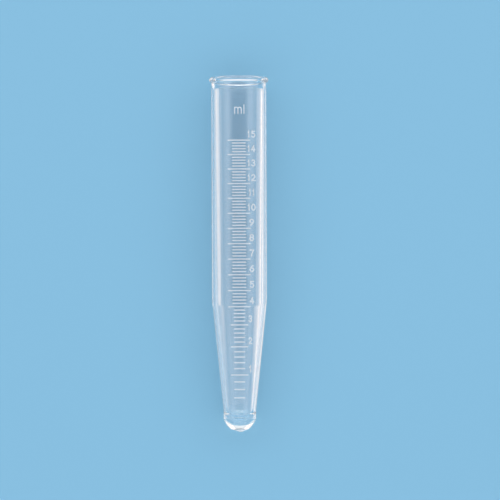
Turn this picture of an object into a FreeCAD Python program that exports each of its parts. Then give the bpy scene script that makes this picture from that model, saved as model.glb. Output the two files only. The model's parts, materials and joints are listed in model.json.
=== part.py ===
"""A 15 ml conical centrifuge tube, moulded in one shot of clear polystyrene.

The tube is drawn upright, about the Z axis: the broken gate under the tip is at
z = 0, the mouth is at the top, and the graduated side faces -Y. The last step
lays it down as it comes to rest on a bench: on its rim bead and its shoulder,
mouth towards +Y, graduations up. All lengths are in millimetres, and volumes
are in millilitres where their names say so.
"""

import FreeCAD, Part
import math
import os

from FreeCAD import Placement, Rotation, Vector

# ---- outside -------------------------------------------------------------
overall_length = 119.1        # tip of the gate to the face of the rim
barrel_radius = 9.18
shoulder_height = 44.0        # where the barrel turns into the cone
shoulder_blend = 12.0         # radius of that turn
land_radius = 5.45            # the short straight land where the cone ends
land_top = 7.2
land_bottom = 4.4
bottom_arc_radius = 7.5       # section of the rounded bottom under the land
gate_base_radius = 2.9        # blunt cone left by the gate under the bottom
gate_tip_radius = 0.35
gate_height = 0.85
gate_offset = 0.3             # the gate broke off a little to one side
bottom_crown = 0.3            # how far the bottom sinks from the gate's rim to the axis

# ---- rim bead ------------------------------------------------------------
bead_projection = 0.75        # how far the bead stands out from the barrel
bead_section_radius = 0.85    # the bead is half round
bead_root_fillet = 0.7        # hollow between the bead and the barrel

# ---- inside --------------------------------------------------------------
seat_wall = 0.81              # wall beside the straight stopper seat in the mouth
seat_depth = 4.2
seat_step = 0.05              # the drafted bore starts this much narrower
mouth_chamfer = 0.2
shoulder_wall = 1.47          # wall of the barrel where the bore turns into the cone
bore_shoulder_height = 43.7   # where the bore turns, a little below the outside
cup_radius = 4.26             # the bore ends in a round cup
cup_floor_height = 3.3        # from the gate's tip to the bottom of the cup

# ---- graduated scale, raised on the outside ------------------------------
scale_first_ml = 0.4
scale_last_ml = 15.0
scale_step_ml = 0.2
steps_per_long_line = 5       # a longer line at each whole millilitre
cone_lines_below_ml = 4.0     # the lines are shorter from here down
line_height = 0.15            # how far a line stands out from the wall
line_base_width = 0.42
line_top_width = 0.28
barrel_line_length = 4.7
barrel_long_line_length = 7.8
cone_line_length = 3.8
cone_long_line_length = 6.0
line_root = 0.2               # how deep a line is rooted in the wall, so that they fuse

FRONT = -90.0                 # degrees about Z of the graduated side, which faces -Y
SEAM = -62.0                  # where each turned surface closes, beside the scale

bead_radius = barrel_radius + bead_projection
seat_radius = barrel_radius - seat_wall
seat_end_height = overall_length - seat_depth
bore_top_radius = seat_radius - seat_step
bore_shoulder_radius = barrel_radius - shoulder_wall


def at(radius, height):
    """A point of the half section, which lies in the XZ plane."""
    return Vector(radius, 0, height)


def line(start, end):
    return Part.LineSegment(start, end).toShape()


def arc_about(centre, start, end):
    """The shorter arc from start to end about their common centre."""
    towards_middle = (start - centre + end - centre).normalize()
    middle = centre + towards_middle * (start - centre).Length
    return Part.Arc(start, middle, end).toShape()


def bulged_arc(start, end, radius):
    """An arc of the given radius that bulges away from the axis, downwards."""
    chord = end - start
    sagitta = radius - math.sqrt(radius**2 - chord.Length**2 / 4)
    outward = Vector(chord.z, 0, -chord.x).normalize()
    return Part.Arc(start, (start + end) / 2 + outward * sagitta, end).toShape()


class Blend:
    """The arc that rounds a corner of the section, tangent to both of its sides."""

    def __init__(self, before, corner, after, radius):
        back = (before - corner).normalize()
        ahead = (after - corner).normalize()
        half_angle = back.getAngle(ahead) / 2
        reach = radius / math.tan(half_angle)
        self.centre = corner + (back + ahead).normalize() * (radius / math.sin(half_angle))
        self.start = corner + back * reach
        self.end = corner + ahead * reach

    def edge(self):
        return arc_about(self.centre, self.start, self.end)


# ---- outer section, from the axis under the bottom up to the mouth --------

gate_rim = at(gate_base_radius, gate_height)
bottom_middle = at(0, gate_height - bottom_crown)
land_foot = at(land_radius, land_bottom)
land_head = at(land_radius, land_top)
shoulder = at(barrel_radius, shoulder_height)

bead_centre = at(bead_radius - bead_section_radius, overall_length - bead_section_radius)
root_centre_radius = barrel_radius + bead_root_fillet
centres_apart = bead_section_radius + bead_root_fillet
root_drop = math.sqrt(centres_apart**2 - (root_centre_radius - bead_centre.x)**2)
root_centre = at(root_centre_radius, bead_centre.z - root_drop)
barrel_head = at(barrel_radius, root_centre.z)
bead_foot = bead_centre + (root_centre - bead_centre) * (bead_section_radius / centres_apart)
bead_top = at(bead_centre.x, overall_length)
mouth_edge = at(seat_radius + mouth_chamfer, overall_length)

# ---- inner section, from the mouth down to the floor of the cup -----------

seat_head = at(seat_radius, overall_length - mouth_chamfer)
seat_end = at(seat_radius, seat_end_height)
bore_top = at(bore_top_radius, seat_end_height - seat_step)
bore_shoulder = at(bore_shoulder_radius, bore_shoulder_height)
cup_centre = at(0, cup_floor_height + cup_radius)
cup_floor = at(0, cup_floor_height)


def cup_tangent_point():
    """Where the straight line down from the bore's shoulder touches the round cup."""
    sight = bore_shoulder - cup_centre
    angle = math.atan2(sight.z, sight.x) - math.acos(cup_radius / sight.Length)
    return cup_centre + at(math.cos(angle), math.sin(angle)) * cup_radius


cup_edge = cup_tangent_point()
outer_blend = Blend(land_head, shoulder, barrel_head, shoulder_blend)
bore_blend = Blend(bore_top, bore_shoulder, cup_edge, shoulder_blend)


def tube_body():
    """The plain tube: one section turned about Z, with the gate's stub under it."""
    outline = Part.Wire([
        line(bottom_middle, gate_rim),
        bulged_arc(gate_rim, land_foot, bottom_arc_radius),
        line(land_foot, land_head),
        line(land_head, outer_blend.start),
        outer_blend.edge(),
        line(outer_blend.end, barrel_head),
        arc_about(root_centre, barrel_head, bead_foot),
        arc_about(bead_centre, bead_foot, bead_top),
        line(bead_top, mouth_edge),
        line(mouth_edge, seat_head),
        line(seat_head, seat_end),
        line(seat_end, bore_top),
        line(bore_top, bore_blend.start),
        bore_blend.edge(),
        line(bore_blend.end, cup_edge),
        arc_about(cup_centre, cup_edge, cup_floor),
        line(cup_floor, bottom_middle),
    ])
    section = Part.Face(outline)
    section.rotate(Vector(0, 0, 0), Vector(0, 0, 1), SEAM)
    body = section.revolve(Vector(0, 0, 0), Vector(0, 0, 1), 360)
    stub = Part.makeCone(gate_tip_radius, gate_base_radius, gate_height, Vector(gate_offset, 0, 0))
    return body.fuse(stub)


# ---- graduated scale -------------------------------------------------------

def volume_ml_below(height):
    """What the tube holds when it stands upright and is filled to this height."""
    depth = min(height, cup_edge.z) - cup_floor_height
    volume = math.pi * depth**2 * (cup_radius - depth / 3)
    for low, high in ((cup_edge, bore_shoulder), (bore_shoulder, bore_top)):
        if height <= low.z:
            break
        filled = min(height, high.z) - low.z
        taper = (high.x - low.x) / (high.z - low.z)
        level_radius = low.x + taper * filled
        volume += math.pi * filled * (low.x**2 + low.x * level_radius + level_radius**2) / 3
    return volume / 1000


def height_of_ml(volume_ml):
    """The filling height of a volume, found by halving the tube's height."""
    low, high = cup_floor_height, seat_end_height
    while high - low > 1e-6:
        middle = (low + high) / 2
        if volume_ml_below(middle) < volume_ml:
            low = middle
        else:
            high = middle
    return (low + high) / 2


def scale_marks():
    """(volume in ml, height, length, outer radius, wall's lean) of each line of the scale."""
    cone_lean = math.atan2(barrel_radius - land_radius, shoulder_height - land_top)
    first = round(scale_first_ml / scale_step_ml)
    last = round(scale_last_ml / scale_step_ml)
    marks = []
    for step in range(first, last + 1):
        volume_ml = step * scale_step_ml
        height = height_of_ml(volume_ml)
        on_cone = height < shoulder_height
        lean = cone_lean if on_cone else 0.0
        radius = barrel_radius
        if on_cone:
            radius -= (shoulder_height - height) * math.tan(cone_lean)
        is_long = step % steps_per_long_line == 0
        if volume_ml < cone_lines_below_ml - scale_step_ml / 2:
            length = cone_long_line_length if is_long else cone_line_length
        else:
            length = barrel_long_line_length if is_long else barrel_line_length
        marks.append((volume_ml, height, length, radius, lean))
    return marks


def raised_line(height, length, radius, lean):
    """One line of the scale: a low ridge that follows the wall round its front."""
    along = Vector(math.sin(lean), 0, math.cos(lean))
    outward = Vector(math.cos(lean), 0, -math.sin(lean))
    foot = at(radius, height)
    corners = [
        foot - along * (line_base_width / 2) - outward * line_root,
        foot - along * (line_base_width / 2),
        foot - along * (line_top_width / 2) + outward * line_height,
        foot + along * (line_top_width / 2) + outward * line_height,
        foot + along * (line_base_width / 2),
        foot + along * (line_base_width / 2) - outward * line_root,
    ]
    ridge_section = Part.Face(Part.makePolygon(corners + corners[:1]))
    sweep = math.degrees(length / radius)
    ridge = ridge_section.revolve(Vector(0, 0, 0), Vector(0, 0, 1), sweep)
    ridge.rotate(Vector(0, 0, 0), Vector(0, 0, 1), FRONT - sweep / 2)
    return ridge


# ---- at rest on its side -----------------------------------------------------

def resting_tilt():
    """Angle of the line that touches the bead and the shoulder, against the axis."""
    between = bead_centre - outer_blend.centre
    lean_of_centres = math.atan2(between.x, between.z)
    return lean_of_centres - math.asin((shoulder_blend - bead_section_radius) / between.Length)


def laid_down(upright):
    """The tube on its side: lowest point at z = 0, middle of its length at y = 0."""
    tilt = resting_tilt()
    across, along = bead_centre.x, bead_centre.z
    rest_height = across * math.cos(tilt) - along * math.sin(tilt) + bead_section_radius
    reach = along * math.cos(tilt) + across * math.sin(tilt) + bead_section_radius
    turn = Rotation(Vector(1, 0, 0), math.degrees(tilt) - 90)
    laid = upright.copy()
    laid.Placement = Placement(Vector(0, -reach / 2, rest_height), turn)
    return laid


def conical_tube():
    ridges = [raised_line(*mark[1:]) for mark in scale_marks()]
    return tube_body().fuse(ridges).removeSplitter()


os.makedirs("parts", exist_ok=True)
laid_down(conical_tube()).exportStep("parts/conical_tube.step")
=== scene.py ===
"""A 15 ml conical centrifuge tube of clear polystyrene, lying on a plain studio floor.

The tube is one moulding, so it is one mesh: a turned body, and on its upper side
the raised lines and figures of its scale, fused to the wall. It is drawn along
its own axis first, from the gate under the tip (height 0) to the rim, with the
graduated side at angle 0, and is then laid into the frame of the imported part.
All lengths are in metres unless a name or a comment says otherwise.
"""

import json
import math

import bmesh
import bpy
from bpy.props import FloatProperty, FloatVectorProperty, IntProperty, PointerProperty
from mathutils import Matrix, Vector


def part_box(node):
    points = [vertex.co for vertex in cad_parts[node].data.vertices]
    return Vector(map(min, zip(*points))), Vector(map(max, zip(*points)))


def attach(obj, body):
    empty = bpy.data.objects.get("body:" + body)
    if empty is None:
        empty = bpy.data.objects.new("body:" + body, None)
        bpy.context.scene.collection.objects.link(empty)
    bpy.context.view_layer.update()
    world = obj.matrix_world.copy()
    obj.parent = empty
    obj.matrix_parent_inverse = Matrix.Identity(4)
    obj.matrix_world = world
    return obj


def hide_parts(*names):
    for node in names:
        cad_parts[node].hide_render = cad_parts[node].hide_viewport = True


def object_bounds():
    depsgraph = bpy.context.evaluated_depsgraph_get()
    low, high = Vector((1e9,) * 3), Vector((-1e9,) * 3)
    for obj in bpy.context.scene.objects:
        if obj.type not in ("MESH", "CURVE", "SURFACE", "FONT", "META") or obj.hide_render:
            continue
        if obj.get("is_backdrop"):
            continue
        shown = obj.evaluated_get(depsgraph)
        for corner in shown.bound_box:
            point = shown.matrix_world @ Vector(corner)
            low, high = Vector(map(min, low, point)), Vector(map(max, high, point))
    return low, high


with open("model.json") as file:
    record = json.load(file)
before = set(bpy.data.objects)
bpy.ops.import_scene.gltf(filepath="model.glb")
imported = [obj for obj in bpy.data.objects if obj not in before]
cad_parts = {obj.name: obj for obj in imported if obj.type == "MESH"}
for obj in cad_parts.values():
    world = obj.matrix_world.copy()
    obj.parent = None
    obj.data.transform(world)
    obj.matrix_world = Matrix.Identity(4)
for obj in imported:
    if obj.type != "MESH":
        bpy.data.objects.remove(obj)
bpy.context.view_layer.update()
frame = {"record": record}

bl_info = {
    "name": "15 ml Conical Tube",
    "version": (1, 0, 0),
    "blender": (4, 5, 0),
    "location": "3D Viewport > Sidebar > Conical Tube",
    "description": "Moulds a clear graduated centrifuge tube and lights it on a plain floor",
    "category": "Add Mesh",
}

MM = 0.001
NODE = "conical_tube"
MOUNTS = {mount["name"]: mount for mount in frame["record"]["mounts"]}


# ---- where the tube lies ---------------------------------------------------

AXIS = Vector(MOUNTS["mouth"]["axis"])
ON_AXIS = Vector(MOUNTS["mouth"]["pos_m"])
RIM_CENTRE = ON_AXIS + AXIS * (Vector(MOUNTS["rim_face"]["pos_m"]) - ON_AXIS).dot(AXIS)
TUBE_LENGTH = (RIM_CENTRE.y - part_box(NODE)[0].y) / AXIS.y


def tube_matrix(length):
    """From the tube's own axes (height along Z, scale facing -Y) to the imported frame."""
    across = Vector((1, 0, 0))
    turn = Matrix((across, AXIS.cross(across), AXIS)).transposed().to_4x4()
    return Matrix.Translation(RIM_CENTRE - AXIS * length) @ turn


# ---- sizes and colours a user may change -----------------------------------

def length(name, description, millimetres):
    return FloatProperty(name=name, description=description, default=millimetres * MM,
                         min=0.0, precision=5, subtype="DISTANCE", unit="LENGTH")


def linear(hex_colour):
    """The scene's linear colour for an sRGB hex value."""
    channels = [int(hex_colour[i:i + 2], 16) / 255 for i in (1, 3, 5)]
    return tuple(c / 12.92 if c <= 0.04045 else ((c + 0.055) / 1.055) ** 2.4 for c in channels)


def colour(name, description, hex_colour):
    return FloatVectorProperty(name=name, description=description, default=linear(hex_colour),
                               min=0.0, max=1.0, size=3, subtype="COLOR")


class BodySizes(bpy.types.PropertyGroup):
    """The turned body: its outside, its rim bead and its bore."""

    overall_length: length("Overall length", "Tip of the gate to the rim", TUBE_LENGTH / MM)
    barrel_radius: length("Barrel radius", "Outside of the straight barrel",
                          MOUNTS["barrel"]["dims"]["r_mm"])
    shoulder_height: length("Shoulder height", "Where the barrel turns into the cone", 44.0)
    shoulder_blend: length("Shoulder blend", "Radius of that turn, outside and in", 12.0)
    land_radius: length("Land radius", "The straight land where the cone ends", 5.45)
    land_top: length("Land top", "Height of the land's upper edge", 7.2)
    land_bottom: length("Land bottom", "Height of the land's lower edge", 4.4)
    bottom_radius: length("Bottom radius", "Section of the rounded bottom", 7.5)
    gate_base_radius: length("Gate base radius", "Blunt cone under the bottom", 2.9)
    gate_tip_radius: length("Gate tip radius", "Where the gate broke off", 0.35)
    gate_height: length("Gate height", "Height of the blunt cone", 0.85)
    gate_offset: length("Gate offset", "How far to one side the gate broke off", 0.3)
    bead_projection: length("Bead projection", "How far the rim bead stands out", 0.75)
    bead_section: length("Bead section", "Radius of the half-round bead", 0.85)
    bead_root: length("Bead root", "Radius of the hollow under the bead", 0.7)
    seat_radius: length("Seat radius", "Straight stopper seat in the mouth",
                        MOUNTS["mouth"]["dims"]["r_mm"])
    seat_depth: length("Seat depth", "Depth of the stopper seat", 4.2)
    seat_step: length("Seat step", "The drafted bore starts this much narrower", 0.05)
    mouth_chamfer: length("Mouth chamfer", "Broken edge of the mouth", 0.2)
    shoulder_wall: length("Shoulder wall", "Wall where the bore turns into the cone", 1.47)
    bore_shoulder: length("Bore shoulder height", "Where the bore turns into the cone", 43.7)
    cup_radius: length("Cup radius", "Round end of the bore", 4.26)
    cup_floor: length("Cup floor height", "Tip of the gate to the bottom of the cup", 3.3)


class ScaleSizes(bpy.types.PropertyGroup):
    """The raised scale: its lines and its figures."""

    first_ml: FloatProperty(name="First line", description="Lowest line, in ml", default=0.4)
    last_ml: FloatProperty(name="Last line", description="Highest line, in ml", default=15.0)
    step_ml: FloatProperty(name="Step", description="From line to line, in ml", default=0.2)
    long_every: IntProperty(name="Long line every", description="Steps per long line", default=5)
    cone_below_ml: FloatProperty(name="Short below", default=4.0,
                                 description="The lines are shorter below this, in ml")
    relief: length("Relief", "How far lines and figures stand out", 0.15)
    line_base: length("Line base", "Width of a line at the wall", 0.42)
    line_top: length("Line top", "Width of a line at its top", 0.28)
    barrel_line: length("Barrel line", "Length of a line on the barrel", 4.7)
    barrel_long_line: length("Barrel long line", "Length of a whole millilitre's line", 7.8)
    cone_line: length("Cone line", "Length of a line on the cone", 3.8)
    cone_long_line: length("Cone long line", "Length of a whole millilitre's line", 6.0)
    figure_height: length("Figure height", "Height of the numbers", 2.4)
    figure_width: length("Figure width", "Width of one numeral on the barrel", 1.75)
    one_width: length("One width", "Width of a 1 on the barrel", 1.0)
    cone_figure_width: length("Cone figure width", "Width of one numeral on the cone", 1.45)
    figure_gap: length("Figure gap", "Between the numerals of a number", 0.35)
    figure_lift: length("Figure lift", "From a line up to the foot of its number", 0.85)
    figure_centre: length("Figure centre", "Round the wall from the scale's middle", 4.38)
    cone_figure_centre: length("Cone figure centre", "The same on the cone", 3.75)
    stroke_base: length("Stroke base", "Width of a figure's stroke at the wall", 0.46)
    stroke_top: length("Stroke top", "Width of a figure's stroke at its top", 0.32)
    unit_height: length("Unit height", "Foot of the unit sign above the gate", 106.2)
    unit_base: length("Unit base", "Width of the unit sign's stroke at the wall", 0.32)
    unit_top: length("Unit top", "Width of the unit sign's stroke at its top", 0.14)


class TubeColours(bpy.types.PropertyGroup):
    """Colours of the plastic and of the studio floor."""

    clear_plastic: colour("Clear plastic", "Tint of light through the polished wall", "#FAFCFE")
    matt_plastic: colour("Matt plastic", "The spark-eroded lines and figures", "#F6FAFF")
    floor: colour("Floor", "Plain paper under the tube", "#86BCDB")


# ---- sections ---------------------------------------------------------------

def blend(before, corner, after, radius):
    """Centre, start and end of the arc that rounds a corner of a section."""
    back, ahead = (before - corner).normalized(), (after - corner).normalized()
    half_angle = back.angle(ahead) / 2
    reach = radius / math.tan(half_angle)
    centre = corner + (back + ahead).normalized() * (radius / math.sin(half_angle))
    return centre, corner + back * reach, corner + ahead * reach


def arc(centre, start, end, steps):
    """Points from start to end along the shorter arc about their common centre."""
    first, last = start - centre, end - centre
    sweep = last.angle_signed(first)
    turned = [Matrix.Rotation(sweep * i / steps, 2) @ first for i in range(steps + 1)]
    return [centre + point for point in turned]


def bulged(start, end, radius, steps):
    """The same for an arc of a given radius that bulges away from the axis, downwards."""
    chord = end - start
    outward = Vector((chord.y, -chord.x)).normalized()
    depth = math.sqrt(radius**2 - chord.length_squared / 4)
    return arc((start + end) / 2 - outward * depth, start, end, steps)


def straight(start, end, steps):
    return [start.lerp(end, i / steps) for i in range(steps + 1)]


class Bore:
    """The inside of the tube: its section's corners, and the height of any volume in it."""

    def __init__(self, body):
        seat_end = body.overall_length - body.seat_depth
        self.seat_head = Vector((body.seat_radius, body.overall_length - body.mouth_chamfer))
        self.seat_end = Vector((body.seat_radius, seat_end))
        self.top = Vector((body.seat_radius - body.seat_step, seat_end - body.seat_step))
        self.shoulder = Vector((body.barrel_radius - body.shoulder_wall, body.bore_shoulder))
        self.cup_radius, self.floor = body.cup_radius, body.cup_floor
        self.cup_centre = Vector((0.0, self.floor + self.cup_radius))
        sight = self.shoulder - self.cup_centre
        angle = math.atan2(sight.y, sight.x) - math.acos(self.cup_radius / sight.length)
        self.cup_edge = self.cup_centre + Vector((math.cos(angle), math.sin(angle))) * self.cup_radius

    def volume_below(self, height):
        depth = min(height, self.cup_edge.y) - self.floor
        volume = math.pi * depth**2 * (self.cup_radius - depth / 3)
        for low, high in ((self.cup_edge, self.shoulder), (self.shoulder, self.top)):
            if height > low.y:
                filled = min(height, high.y) - low.y
                level = low.x + (high.x - low.x) * filled / (high.y - low.y)
                volume += math.pi * filled * (low.x**2 + low.x * level + level**2) / 3
        return volume

    def height_of(self, millilitres):
        """The filling height of a volume, found by halving the bore's height."""
        low, high = self.floor, self.seat_end.y
        for _ in range(40):
            middle = (low + high) / 2
            if self.volume_below(middle) < millilitres * 1e-6:
                low = middle
            else:
                high = middle
        return (low + high) / 2


class Wall:
    """The outside wall that carries the scale: barrel above the shoulder, cone below it."""

    def __init__(self, body):
        self.radius, self.shoulder = body.barrel_radius, body.shoulder_height
        self.lean = math.atan2(body.barrel_radius - body.land_radius,
                               body.shoulder_height - body.land_top)

    def radius_at(self, height):
        return self.radius - max(0.0, self.shoulder - height) * math.tan(self.lean)

    def point(self, around, height, lift):
        """A point by its way round the wall from the scale's middle, its height and its lift."""
        lean = self.lean if height < self.shoulder else 0.0
        radius = self.radius_at(height)
        angle = around / radius
        out = radius + lift * math.cos(lean)
        return Vector((out * math.sin(angle), -out * math.cos(angle),
                       height - lift * math.sin(lean)))


def outer_section(body):
    """The outside from the broken gate up to the mouth's edge."""
    tip = Vector((body.gate_tip_radius, 0.0))
    gate_rim = Vector((body.gate_base_radius, body.gate_height))
    land_foot = Vector((body.land_radius, body.land_bottom))
    land_head = Vector((body.land_radius, body.land_top))
    shoulder = Vector((body.barrel_radius, body.shoulder_height))
    bead_centre = Vector((body.barrel_radius + body.bead_projection - body.bead_section,
                          body.overall_length - body.bead_section))
    root_x = body.barrel_radius + body.bead_root
    apart = body.bead_section + body.bead_root
    root_centre = Vector((root_x, bead_centre.y - math.sqrt(apart**2 - (root_x - bead_centre.x)**2)))
    barrel_head = Vector((body.barrel_radius, root_centre.y))
    bead_foot = bead_centre.lerp(root_centre, body.bead_section / apart)
    bead_top = Vector((bead_centre.x, body.overall_length))
    mouth_edge = Vector((body.seat_radius + body.mouth_chamfer, body.overall_length))
    turn, turn_start, turn_end = blend(land_head, shoulder, barrel_head, body.shoulder_blend)
    return [
        *straight(tip, gate_rim, 4),
        *bulged(gate_rim, land_foot, body.bottom_radius, 10),
        *straight(land_foot, land_head, 2),
        *straight(land_head, turn_start, 10),
        *arc(turn, turn_start, turn_end, 6),
        *straight(turn_end, barrel_head, 14),
        *arc(root_centre, barrel_head, bead_foot, 8),
        *arc(bead_centre, bead_foot, bead_top, 20),
        mouth_edge,
    ]


def inner_section(bore, body):
    """The inside from the mouth down to the cup."""
    turn, turn_start, turn_end = blend(bore.top, bore.shoulder, bore.cup_edge, body.shoulder_blend)
    cup_floor = Vector((0.0, bore.floor))
    return [
        *straight(bore.seat_head, bore.seat_end, 2),
        *straight(bore.top, turn_start, 14),
        *arc(turn, turn_start, turn_end, 6),
        *straight(turn_end, bore.cup_edge, 10),
        *arc(bore.cup_centre, bore.cup_edge, cup_floor, 16)[:-1],
    ]


# ---- meshes ------------------------------------------------------------------

FRONT_HALF = math.radians(42)      # the facets are finer on the side that carries the scale
FRONT_FACETS = 68
BACK_FACETS = 110
CLEAR, MATT = 0, 1                 # material places on the tube
SHARP_EDGE = math.radians(14)      # facets that meet at more than this keep their edge


def facet_angles():
    front = [-FRONT_HALF + 2 * FRONT_HALF * i / FRONT_FACETS for i in range(FRONT_FACETS)]
    rest = 2 * math.pi - 2 * FRONT_HALF
    return front + [FRONT_HALF + rest * i / BACK_FACETS for i in range(BACK_FACETS)]


def without_repeats(points):
    kept = [points[0]]
    for point in points[1:]:
        if (point - kept[-1]).length > 1e-7:
            kept.append(point)
    return kept


def turned_body(body, bore):
    """The plain tube as one closed mesh: rings up the outside, over the rim and down the bore."""
    mesh = bmesh.new()
    angles = facet_angles()
    section = without_repeats(outer_section(body) + inner_section(bore, body))
    rings = []
    for index, point in enumerate(section):
        outside = index < len(section) // 2
        aside = body.gate_offset * max(0.0, 1 - point.y / body.gate_height) if outside else 0.0
        rings.append([mesh.verts.new((aside + point.x * math.sin(a), -point.x * math.cos(a), point.y))
                      for a in angles])
    for ring, following in zip(rings, rings[1:]):
        for i in range(len(angles)):
            j = (i + 1) % len(angles)
            mesh.faces.new((ring[i], ring[j], following[j], following[i]))
    for ring, middle in ((rings[0], (body.gate_offset, 0.0, 0.0)), (rings[-1], (0.0, 0.0, bore.floor))):
        pole = mesh.verts.new(middle)
        for i in range(len(angles)):
            mesh.faces.new((ring[i], ring[(i + 1) % len(angles)], pole))
    bmesh.ops.recalc_face_normals(mesh, faces=mesh.faces)
    return finished_mesh("turned_body", mesh, CLEAR)


def finished_mesh(name, mesh, place):
    for face in mesh.faces:
        face.material_index = place
        face.smooth = True
    data = bpy.data.meshes.new(name)
    mesh.to_mesh(data)
    mesh.free()
    return data


ROOT = 0.2 * MM                    # how deep lines and figures reach into the wall
CAP_STEPS = (30, 60, 88)           # degrees round the half circle at an open stroke's end
CAP_NARROWEST = 0.12               # share of the width that its last crossing keeps
SHARPEST_TURN = 0.5                # cosine at which a corner stops growing outwards
LINE_STEPS = 16                    # straight pieces in a line of the scale


def add_ribbon(mesh, wall, path, base, top, relief, closed=False):
    """A low raised stroke along a path of (around, height) points that follows the wall.

    Each crossing of the path is a trapezium with a root inside the wall, and an
    open stroke ends round.
    """
    count = len(path)
    crossings = []
    for i, point in enumerate(path):
        before = path[i - 1] if closed or i else None
        after = path[(i + 1) % count] if closed or i < count - 1 else None
        entering = (point - before).normalized() if before else (after - point).normalized()
        leaving = (after - point).normalized() if after else entering
        along = (entering + leaving).normalized()
        side = Vector((-along.y, along.x))
        crossings.append((point, side / max(SHARPEST_TURN, along.dot(entering)), 1.0))
    if not closed:
        for index, sign in ((0, -1), (-1, 1)):
            point, side, _ = crossings[index]
            along = Vector((side.y, -side.x)) * sign
            cap = [(point + along * (base / 2) * math.sin(math.radians(a)), side,
                    max(CAP_NARROWEST, math.cos(math.radians(a)))) for a in CAP_STEPS]
            crossings = cap[::-1] + crossings if sign < 0 else crossings + cap
    rows = []
    for point, side, narrowing in crossings:
        wide, slim = side * (base / 2 * narrowing), side * (top / 2 * narrowing)
        corners = ((point - wide, -ROOT), (point - wide, 0.0), (point - slim, relief),
                   (point + slim, relief), (point + wide, 0.0), (point + wide, -ROOT))
        rows.append([mesh.verts.new(wall.point(at.x, at.y, lift)) for at, lift in corners])
    pairs = list(zip(rows, rows[1:])) + ([(rows[-1], rows[0])] if closed else [])
    for row, following in pairs:
        for i in range(len(row)):
            j = (i + 1) % len(row)
            mesh.faces.new((row[i], row[j], following[j], following[i]))
    if not closed:
        mesh.faces.new(rows[0][::-1])
        mesh.faces.new(rows[-1])


def fuse(target, addition):
    """Welds one mesh into the target, so that the moulding stays one closed skin."""
    other = bpy.data.objects.new("addition", addition)
    bpy.context.scene.collection.objects.link(other)
    weld = target.modifiers.new("weld", "BOOLEAN")
    weld.operation, weld.solver, weld.object = "UNION", "MANIFOLD", other
    graph = bpy.context.evaluated_depsgraph_get()
    fused = bpy.data.meshes.new_from_object(target.evaluated_get(graph))
    target.modifiers.remove(weld)
    before, target.data = target.data, fused
    bpy.data.objects.remove(other)
    for spent in (before, addition):
        bpy.data.meshes.remove(spent)


# ---- figures -----------------------------------------------------------------

def oval(x, y, wide, high, start, end, steps=14):
    """Points of an oval arc in a figure's own unit box, by angles in degrees."""
    turns = [math.radians(start + (end - start) * i / steps) for i in range(steps + 1)]
    return [(x + wide * math.cos(t), y + high * math.sin(t)) for t in turns]


def ring(x, y, wide, high):
    return ["ring", *oval(x, y, wide, high, 0, 360, 24)[:-1]]


# Each figure is drawn with up to three strokes in a box one wide and one high, as
# an engraving cutter draws it. Strokes that cross are apart in the list, because
# the first, second and third strokes of all figures are fused in three rounds.
FIGURES = {
    "0": [ring(0.5, 0.5, 0.5, 0.5)],
    "1": [[(0.2, 0.76), (0.62, 1.0), (0.62, 0.0)]],
    "2": [[*oval(0.5, 0.71, 0.46, 0.29, 165, -32), (0.04, 0.0)], [(0.04, 0.0), (1.0, 0.0)]],
    "3": [oval(0.47, 0.755, 0.43, 0.245, 155, -88), oval(0.47, 0.265, 0.5, 0.265, 88, -155)],
    "4": [[(0.66, 1.0), (0.0, 0.3)], [(0.0, 0.3), (1.0, 0.3)], [(0.72, 0.62), (0.72, 0.0)]],
    "5": [[(0.9, 1.0), (0.14, 1.0), (0.1, 0.56)],
          [(0.1, 0.56), *oval(0.47, 0.33, 0.5, 0.33, 115, -148)]],
    "6": [[(0.84, 0.97), (0.52, 0.9), (0.24, 0.72), (0.07, 0.5), (0.0, 0.31)],
          ring(0.5, 0.31, 0.5, 0.31)],
    "7": [[(0.0, 1.0), (1.0, 1.0)], [(1.0, 1.0), (0.58, 0.5), (0.4, 0.0)]],
    "8": [ring(0.5, 0.755, 0.42, 0.245), ring(0.5, 0.265, 0.5, 0.265)],
    "9": [ring(0.5, 0.69, 0.5, 0.31),
          [(1.0, 0.69), (0.93, 0.5), (0.76, 0.28), (0.48, 0.1), (0.16, 0.03)]],
    "m": [[(0.0, 0.0), (0.0, 1.0)],
          [(0.0, 0.66), *oval(0.25, 0.7, 0.25, 0.3, 165, 0, 8), (0.5, 0.0)],
          [(0.5, 0.66), *oval(0.75, 0.7, 0.25, 0.3, 165, 0, 8), (1.0, 0.0)]],
    "l": [[(0.0, 0.0), (0.0, 1.0)]],
}
ROUNDS = 3

# The unit sign: letter, its left edge round the wall from the scale's middle, its width
# and its height, in millimetres. The upright letter is as wide as its stroke.
UNIT_SIGN = (("m", -1.55, 2.55, 2.45), ("l", 1.6, 0.32, 3.25))


def figure_strokes(figure, left, foot, width, height, base, top):
    """The strokes of one figure: (round, closed, path, base, top), with its outer size kept."""
    strokes = []
    for order, points in enumerate(FIGURES[figure]):
        closed = points[0] == "ring"
        path = [Vector((left + base / 2 + x * (width - base), foot + base / 2 + y * (height - base)))
                for x, y in (points[1:] if closed else points)]
        strokes.append((order, closed, path, base, top))
    return strokes


def scale_volumes(scale):
    first, last = round(scale.first_ml / scale.step_ml), round(scale.last_ml / scale.step_ml)
    return [(step, step * scale.step_ml) for step in range(first, last + 1)]


# ---- materials ---------------------------------------------------------------

def add(tree, kind, inputs=None, **settings):
    """One node: its settings, then its inputs, each a plain value or another node's output."""
    node = tree.nodes.new(kind)
    for name, value in settings.items():
        setattr(node, name, value)
    for name, value in (inputs or {}).items():
        if isinstance(value, bpy.types.NodeSocket):
            tree.links.new(value, node.inputs[name])
        else:
            node.inputs[name].default_value = value
    return node


def empty_material(name):
    material = bpy.data.materials.new(name)
    material.use_nodes = True
    material.node_tree.nodes.clear()
    return material, material.node_tree


def per_metre(millimetres):
    """A texture's scale for features of a real size."""
    return 1 / (millimetres * MM)


POLYSTYRENE_IOR = 1.59


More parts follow.
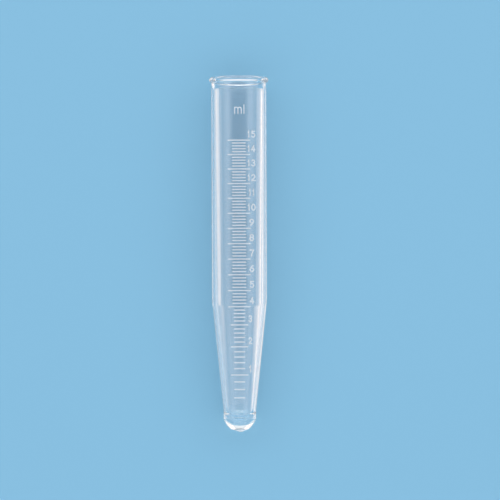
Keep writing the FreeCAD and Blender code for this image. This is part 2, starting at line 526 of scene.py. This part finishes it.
def let_lamps_through(tree, plastic, tint):
    """Ends a see-through material: lamps reach what is behind it, tinted, as through a thin wall."""
    path = add(tree, "ShaderNodeLightPath")
    open_wall = add(tree, "ShaderNodeBsdfTransparent", {"Color": (*linear(tint), 1.0)})
    either = add(tree, "ShaderNodeMixShader",
                 {0: path.outputs["Is Shadow Ray"], 1: plastic.outputs[0], 2: open_wall.outputs[0]})
    add(tree, "ShaderNodeOutputMaterial", {"Surface": either.outputs[0]})


def clear_polystyrene(colours):
    """General-purpose polystyrene, injection moulded against polished steel: water clear,
    with a hard gloss and the faintest haze, which is the 1.5% that isn't transmitted.
    Its high index gives bright edges. The flow of the melt leaves the wall very
    slightly wavy, in waves 5 mm wide and eight times as long, and handling leaves
    faint dull patches about 9 mm wide."""
    material, tree = empty_material("polystyrene_moulded_polished")
    place = add(tree, "ShaderNodeTexCoord").outputs["Object"]
    stretched = add(tree, "ShaderNodeMapping", {"Vector": place, "Scale": (1.0, 0.12, 1.0)})
    flow = add(tree, "ShaderNodeTexNoise",
               {"Vector": stretched.outputs[0], "Scale": per_metre(5.0), "Detail": 1.0})
    handling = add(tree, "ShaderNodeTexNoise",
                   {"Vector": place, "Scale": per_metre(9.0), "Detail": 5.0, "Roughness": 0.6})
    roughness = add(tree, "ShaderNodeMapRange",
                    {"Value": handling.outputs["Fac"], "From Min": 0.4, "From Max": 0.75,
                     "To Min": 0.015, "To Max": 0.06})
    waves = add(tree, "ShaderNodeBump",
                {"Height": flow.outputs["Fac"], "Strength": 1.0, "Distance": 0.003 * MM})
    plastic = add(tree, "ShaderNodeBsdfPrincipled",
                  {"Base Color": (*colours.clear_plastic, 1.0), "Transmission Weight": 0.985,
                   "IOR": POLYSTYRENE_IOR, "Roughness": roughness.outputs[0],
                   "Normal": waves.outputs[0]})
    let_lamps_through(tree, plastic, "#FCFCFD")
    return material


def matt_polystyrene(colours):
    """The same plastic where the mould is spark-eroded: the fine pits scatter light, so
    lines and figures look frosted, and paler than the clear wall round them. Real pits
    are about 0.02 mm; they are drawn 0.15 mm wide so that they show."""
    material, tree = empty_material("polystyrene_moulded_spark_eroded")
    place = add(tree, "ShaderNodeTexCoord").outputs["Object"]
    pits = add(tree, "ShaderNodeTexNoise",
               {"Vector": place, "Scale": per_metre(0.15), "Detail": 2.0})
    roughness = add(tree, "ShaderNodeMapRange",
                    {"Value": pits.outputs["Fac"], "To Min": 0.34, "To Max": 0.5})
    rough = add(tree, "ShaderNodeBump",
                {"Height": pits.outputs["Fac"], "Strength": 0.5, "Distance": 0.02 * MM})
    plastic = add(tree, "ShaderNodeBsdfPrincipled",
                  {"Base Color": (*colours.matt_plastic, 1.0), "Transmission Weight": 0.5,
                   "IOR": POLYSTYRENE_IOR, "Roughness": roughness.outputs[0],
                   "Normal": rough.outputs[0]})
    let_lamps_through(tree, plastic, "#EEF0F1")
    return material


def studio_paper(colours):
    """Matt coated background paper: one even pale colour, and no gloss. Its fibre is about
    0.05 mm wide; it is drawn 0.8 mm wide, very faintly, so that it shows at all."""
    material, tree = empty_material("paper_coated_matt")
    place = add(tree, "ShaderNodeTexCoord").outputs["Object"]
    fibre = add(tree, "ShaderNodeTexNoise",
                {"Vector": place, "Scale": per_metre(0.8), "Detail": 4.0, "Roughness": 0.65})
    shade = add(tree, "ShaderNodeMapRange",
                {"Value": fibre.outputs["Fac"], "To Min": 0.985, "To Max": 1.015})
    tone = add(tree, "ShaderNodeVectorMath",
               {0: tuple(colours.floor), "Scale": shade.outputs[0]}, operation="SCALE")
    relief = add(tree, "ShaderNodeBump",
                 {"Height": fibre.outputs["Fac"], "Strength": 0.1, "Distance": 0.02 * MM})
    paper = add(tree, "ShaderNodeBsdfPrincipled",
                {"Base Color": tone.outputs[0], "Roughness": 0.9, "Specular IOR Level": 0.2,
                 "Normal": relief.outputs[0]})
    add(tree, "ShaderNodeOutputMaterial", {"Surface": paper.outputs[0]})
    return material


# ---- operators -----------------------------------------------------------------

def settings():
    scene = bpy.context.scene
    return scene.tube_body, scene.tube_scale, scene.tube_colours


def tube_object():
    tube = bpy.data.objects.get("tube")
    if tube is None:
        raise RuntimeError("mould the body first")
    return tube


class TUBE_OT_body(bpy.types.Operator):
    """Mould the body: barrel, cone, rounded tip with its gate, rim bead and bore"""

    bl_idname = "tube.body"
    bl_label = "Mould the Body"

    def execute(self, context):
        body, _, colours = settings()
        tube = bpy.data.objects.new("tube", turned_body(body, Bore(body)))
        context.scene.collection.objects.link(tube)
        tube.data.materials.append(clear_polystyrene(colours))
        tube.data.materials.append(matt_polystyrene(colours))
        return {"FINISHED"}


class TUBE_OT_lines(bpy.types.Operator):
    """Raise the lines of the scale, one for each step of the bore's own volume"""

    bl_idname = "tube.lines"
    bl_label = "Raise the Lines"

    def execute(self, context):
        body, scale, _ = settings()
        bore, wall = Bore(body), Wall(body)
        mesh = bmesh.new()
        for step, volume in scale_volumes(scale):
            is_long = step % scale.long_every == 0
            if volume < scale.cone_below_ml - scale.step_ml / 2:
                reach = scale.cone_long_line if is_long else scale.cone_line
            else:
                reach = scale.barrel_long_line if is_long else scale.barrel_line
            height = bore.height_of(volume)
            half = (reach - scale.line_base) / 2
            path = straight(Vector((-half, height)), Vector((half, height)), LINE_STEPS)
            add_ribbon(mesh, wall, path, scale.line_base, scale.line_top, scale.relief)
        bmesh.ops.recalc_face_normals(mesh, faces=mesh.faces)
        fuse(tube_object(), finished_mesh("lines", mesh, MATT))
        return {"FINISHED"}


class TUBE_OT_figures(bpy.types.Operator):
    """Raise the numbers beside the whole millilitres, and the unit sign above them"""

    bl_idname = "tube.figures"
    bl_label = "Raise the Figures"

    def execute(self, context):
        body, scale, _ = settings()
        bore, wall = Bore(body), Wall(body)
        strokes = []
        for step, volume in scale_volumes(scale):
            if step % scale.long_every:
                continue
            number = str(round(volume))
            on_cone = volume < scale.cone_below_ml - scale.step_ml / 2
            if on_cone:
                middle, widths = scale.cone_figure_centre, [scale.cone_figure_width]
            else:
                middle = scale.figure_centre
                widths = [scale.one_width if figure == "1" else scale.figure_width
                          for figure in number]
            left = middle - (sum(widths) + (len(widths) - 1) * scale.figure_gap) / 2
            foot = bore.height_of(volume) + scale.figure_lift
            for figure, width in zip(number, widths):
                strokes += figure_strokes(figure, left, foot, width, scale.figure_height,
                                          scale.stroke_base, scale.stroke_top)
                left += width + scale.figure_gap
        for letter, left, width, height in UNIT_SIGN:
            strokes += figure_strokes(letter, left * MM, scale.unit_height, width * MM, height * MM,
                                      scale.unit_base, scale.unit_top)
        for order in range(ROUNDS):
            mesh = bmesh.new()
            for when, closed, path, base, top in strokes:
                if when == order:
                    add_ribbon(mesh, wall, path, base, top, scale.relief, closed)
            bmesh.ops.recalc_face_normals(mesh, faces=mesh.faces)
            fuse(tube_object(), finished_mesh("figures", mesh, MATT))
        return {"FINISHED"}


class TUBE_OT_lay(bpy.types.Operator):
    """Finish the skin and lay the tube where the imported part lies"""

    bl_idname = "tube.lay"
    bl_label = "Lay the Tube Down"

    def execute(self, context):
        body, _, _ = settings()
        tube = tube_object()
        tube.data.transform(tube_matrix(body.overall_length))
        tube.data.shade_smooth()
        tube.data.set_sharp_from_angle(angle=SHARP_EDGE)
        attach(tube, "root")
        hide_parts(NODE)
        return {"FINISHED"}


# ---- stage ---------------------------------------------------------------------

FLOOR_HALF = 3.0                   # from the middle of the floor to each edge
NEUTRAL, WARM, SKY = "#FFFFFF", "#FFD3AA", "#F4F9FF"
SKY_AT_HORIZON, SKY_OVERHEAD = 0.45, 0.32
STRIP_LIFT = 0.3 * MM              # the strips lie this far above the floor

CAMERA_DISTANCE = 1.5
CAMERA_TILT = math.radians(-2.83)  # from straight above; less than 0 is towards the tip
CAMERA_ROLL = math.radians(-0.2)
FOCAL_LENGTH, SENSOR_WIDTH = 321.6, 36.0    # in millimetres
AIM_X, AIM_Y = 3.6 * MM, 1.4 * MM  # where the camera aims, from the middle of the frame

# Large flat banks round the tube: (name, bearing from +X in degrees, lowest and highest
# elevation, distance, width, radiance). They light the floor and the matt scale evenly,
# and the side banks draw the soft veils along the barrel, fading up and down. They
# leave the sky overhead dark, so the middle of the tube stays clear. The small strip
# beyond the mouth draws one bright line along the rim bead.
BANKS = (
    ("bank_right", 0, 24, 50, 1.0, 1.8, 0.45),
    ("bank_left", 180, 24, 50, 1.0, 1.8, 0.45),
    ("fringe_right", 0, 2, 61, 1.1, 1.8, 0.25),
    ("fringe_left", 180, 2, 61, 1.1, 1.8, 0.25),
    ("bank_mouth", 90, 5, 78, 1.1, 1.8, 0.88),
    ("bank_tip", 270, 5, 78, 1.1, 1.8, 0.88),
    ("strip_mouth", 90, 13, 29, 1.2, 0.5, 0.9),
)

# Warm strip lamps laid flat on the floor beside and under the tube, facing up: (name, side,
# end towards the tip, end towards the mouth, where the first strip starts, then each
# strip's outer edge and radiance), in millimetres. The strips lie edge to edge. The wall
# near each side bends the view down to them, which draws the bright line along each edge,
# and each strip sets how bright one part of that line is. A strip of no radiance is a
# gap. The last three light the rim bead.
FLOOR_LAMPS = (
    ("barrel_right", 1, -17, 57, 7.0,
     ((8.0, 0.2), (9.0, 0.4), (10.0, 0.8), (11.0, 1.5), (13.0, 0.25), (19.0, 0.1),
      (22.0, 0.45), (27.0, 1.2), (36.0, 1.4))),
    ("barrel_left", -1, -17, 57, 7.0,
     ((8.0, 0.1), (9.0, 0.6), (10.0, 0.85), (11.0, 0.9), (13.0, 0.2), (16.0, 0.0),
      (22.0, 0.12), (27.0, 0.45), (36.0, 1.2))),
    ("cone_right", 1, -56, -17, 6.0,
     ((7.0, 0.25), (8.0, 0.45), (9.0, 0.8), (10.0, 1.2), (13.0, 0.6), (16.0, 0.15),
      (22.0, 0.3), (27.0, 1.2), (36.0, 1.4))),
    ("cone_left", -1, -56, -17, 6.0,
     ((7.0, 0.1), (8.0, 0.3), (9.0, 0.3), (10.0, 0.3), (13.0, 0.2), (22.0, 0.15),
      (27.0, 0.6), (36.0, 0.9))),
    ("rim_right", 1, 57.5, 65, 11.0, ((21.0, 0.7),)),
    ("rim_left", -1, 57.5, 65, 11.0, ((21.0, 0.9),)),
    ("past_mouth", 1, 67, 75, -11.0, ((11.0, 0.75),)),
)

# Small lamps that stand upright under the tip: (name, place, the way it faces, width,
# height, radiance), in millimetres. The rounded bottom bends the view across to them, so
# its outline and the broken gate fill with light.
TIP_LAMPS = (
    ("tip_middle", (0.0, -54.3, 1.6), (0, -1, 0), 3.0, 2.6, 0.6),
    ("tip_across", (0.0, -52.6, 1.7), (0, -1, 0), 9.0, 2.8, 0.6),
    ("tip_gate", (0.0, -55.4, 1.6), (0, -1, 0), 3.0, 2.6, 0.6),
    ("tip_from_left", (1.0, -53.9, 1.7), (-1, 0, 0), 2.8, 2.8, 0.5),
    ("tip_from_right", (-1.0, -53.9, 1.7), (1, 0, 0), 2.8, 2.8, 0.5),
    ("land_left", (-1.5, -56.4, 1.8), (-1, 0, 0), 2.4, 2.6, 0.6),
    ("land_right", (1.8, -56.4, 1.8), (1, 0, 0), 2.4, 2.6, 0.6),
)


def spread_floor(scene, colours):
    sheet = bmesh.new()
    bmesh.ops.create_grid(sheet, x_segments=1, y_segments=1, size=FLOOR_HALF)
    floor = bpy.data.objects.new("floor", finished_mesh("floor", sheet, 0))
    scene.collection.objects.link(floor)
    floor.data.materials.append(studio_paper(colours))
    floor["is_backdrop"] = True


def add_lamp(name, place, away, width, height, radiance, tint):
    """A flat lamp of even radiance that shines against the direction away."""
    lamp = bpy.data.lights.new(name, "AREA")
    lamp.shape, lamp.size, lamp.size_y = "RECTANGLE", width, height
    lamp.energy = radiance * math.pi * width * height
    lamp.color = linear(tint)
    ob = bpy.data.objects.new(name, lamp)
    ob.location = place
    ob.rotation_euler = away.to_track_quat("Z", "Y").to_euler()
    ob.visible_camera = False
    bpy.context.scene.collection.objects.link(ob)


def set_lamps(middle):
    for name, bearing, lowest, highest, distance, width, radiance in BANKS:
        height = 2 * distance * math.tan(math.radians(highest - lowest) / 2)
        around, up = math.radians(bearing), math.radians(lowest + highest) / 2
        away = Vector((math.cos(around) * math.cos(up), math.sin(around) * math.cos(up),
                       math.sin(up)))
        add_lamp(name, middle + away * distance, away, width, height, radiance, NEUTRAL)
    for name, side, tip_end, mouth_end, inner, strips in FLOOR_LAMPS:
        for outer, radiance in strips:
            place = Vector((side * (inner + outer) / 2, (tip_end + mouth_end) / 2, 0.0)) * MM
            place.z = STRIP_LIFT
            if radiance > 0:
                add_lamp(name, place, Vector((0.0, 0.0, -1.0)), (outer - inner) * MM,
                         (mouth_end - tip_end) * MM, radiance, WARM)
            inner = outer
    for name, place, facing, width, height, radiance in TIP_LAMPS:
        add_lamp(name, Vector(place) * MM, -Vector(facing), width * MM, height * MM, radiance, WARM)


def set_sky(scene):
    """Even light from all round, a little weaker overhead."""
    world = bpy.data.worlds.new("studio")
    world.use_nodes = True
    tree = world.node_tree
    tree.nodes.clear()
    look = add(tree, "ShaderNodeTexCoord").outputs["Generated"]
    up = add(tree, "ShaderNodeSeparateXYZ", {"Vector": look}).outputs["Z"]
    fall = add(tree, "ShaderNodeMapRange",
               {"Value": up, "From Min": 0.0, "From Max": 0.9, "To Min": SKY_AT_HORIZON,
                "To Max": SKY_OVERHEAD}, interpolation_type="SMOOTHSTEP")
    sky = add(tree, "ShaderNodeBackground",
              {"Color": (*linear(SKY), 1.0), "Strength": fall.outputs[0]})
    add(tree, "ShaderNodeOutputWorld", {"Surface": sky.outputs[0]})
    scene.world = world


def allow_bounces(scene):
    """Light caught between the faces of the wall needs many reflections to get out."""
    scene.cycles.max_bounces = 32
    scene.cycles.glossy_bounces = 24
    scene.cycles.transmission_bounces = 24


def place_camera(scene, middle):
    """Nearly straight above the scale, with the mouth at the top."""
    camera = bpy.data.objects.new("camera", bpy.data.cameras.new("camera"))
    camera.data.sensor_width = SENSOR_WIDTH
    camera.data.lens = FOCAL_LENGTH
    camera.data.clip_start, camera.data.clip_end = 0.01, 20.0
    scene.collection.objects.link(camera)
    aim = Vector((AIM_X, AIM_Y, middle.z))
    away = Vector((0.0, math.sin(CAMERA_TILT), math.cos(CAMERA_TILT)))
    camera.location = aim + away * CAMERA_DISTANCE
    camera.rotation_euler = (-CAMERA_TILT, 0.0, 0.0)
    camera.rotation_euler.rotate_axis("Z", CAMERA_ROLL)
    scene.camera = camera


class TUBE_OT_stage(bpy.types.Operator):
    """Set the plain floor, the soft lights, the surroundings and the camera"""

    bl_idname = "tube.stage"
    bl_label = "Set the Stage"

    def execute(self, context):
        _, _, colours = settings()
        low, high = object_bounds()
        middle = (Vector(low) + Vector(high)) / 2
        spread_floor(context.scene, colours)
        set_lamps(middle)
        set_sky(context.scene)
        allow_bounces(context.scene)
        place_camera(context.scene, middle)
        context.scene.view_settings.view_transform = "Standard"
        return {"FINISHED"}


# ---- panel and registration ------------------------------------------------------

class TUBE_PT_panel(bpy.types.Panel):
    """Sizes, colours and steps of the conical tube"""

    bl_label = "Conical Tube"
    bl_space_type = "VIEW_3D"
    bl_region_type = "UI"
    bl_category = "Conical Tube"

    def draw(self, context):
        for group in settings():
            box = self.layout.box()
            for name in group.bl_rna.properties.keys():
                if name not in ("rna_type", "name"):
                    box.prop(group, name)
        for step in STEPS:
            self.layout.operator(step.bl_idname)


STEPS = (TUBE_OT_body, TUBE_OT_lines, TUBE_OT_figures, TUBE_OT_lay, TUBE_OT_stage)
CLASSES = (BodySizes, ScaleSizes, TubeColours, *STEPS, TUBE_PT_panel)


def register():
    for cls in CLASSES:
        bpy.utils.register_class(cls)
    bpy.types.Scene.tube_body = PointerProperty(type=BodySizes)
    bpy.types.Scene.tube_scale = PointerProperty(type=ScaleSizes)
    bpy.types.Scene.tube_colours = PointerProperty(type=TubeColours)


def unregister():
    for name in ("tube_body", "tube_scale", "tube_colours"):
        delattr(bpy.types.Scene, name)
    for cls in reversed(CLASSES):
        bpy.utils.unregister_class(cls)


def main():
    register()
    bpy.ops.tube.body()
    bpy.ops.tube.lines()
    bpy.ops.tube.figures()
    bpy.ops.tube.lay()
    bpy.ops.tube.stage()


if __name__ == "__main__":
    main()
